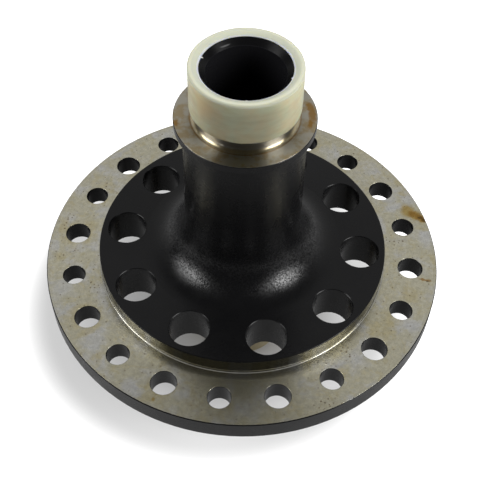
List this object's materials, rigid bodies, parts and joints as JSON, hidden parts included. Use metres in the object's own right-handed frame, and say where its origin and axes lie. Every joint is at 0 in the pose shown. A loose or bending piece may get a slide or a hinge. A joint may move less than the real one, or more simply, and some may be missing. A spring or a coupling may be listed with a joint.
{
  "type": "differential spool",
  "caption": "Steel axle hub with a wide drilled ring gear flange, raised register, flared neck, collar, splined bore and bearing journals, with a thin plastic sleeve over the upper journal.",
  "frame": {"origin": "on the axle line, in the plane of the ground face that the ring gear seats on", "axes": "+Z along the axle line towards the long neck, +X through a large bolt hole, +Y completes the right-handed frame"},
  "size_m": [0.204, 0.204, 0.1928],
  "materials": {
    "spool_steel": "satin black oxide, with the ring gear seat, register wall, collar face and journals ground bright",
    "sleeve_plastic": "milky translucent, faintly stained with oil"
  },
  "bodies": {
    "root": {"spool_body": "spool_steel", "journal_sleeve": "sleeve_plastic"}
  },
  "joints": []
}
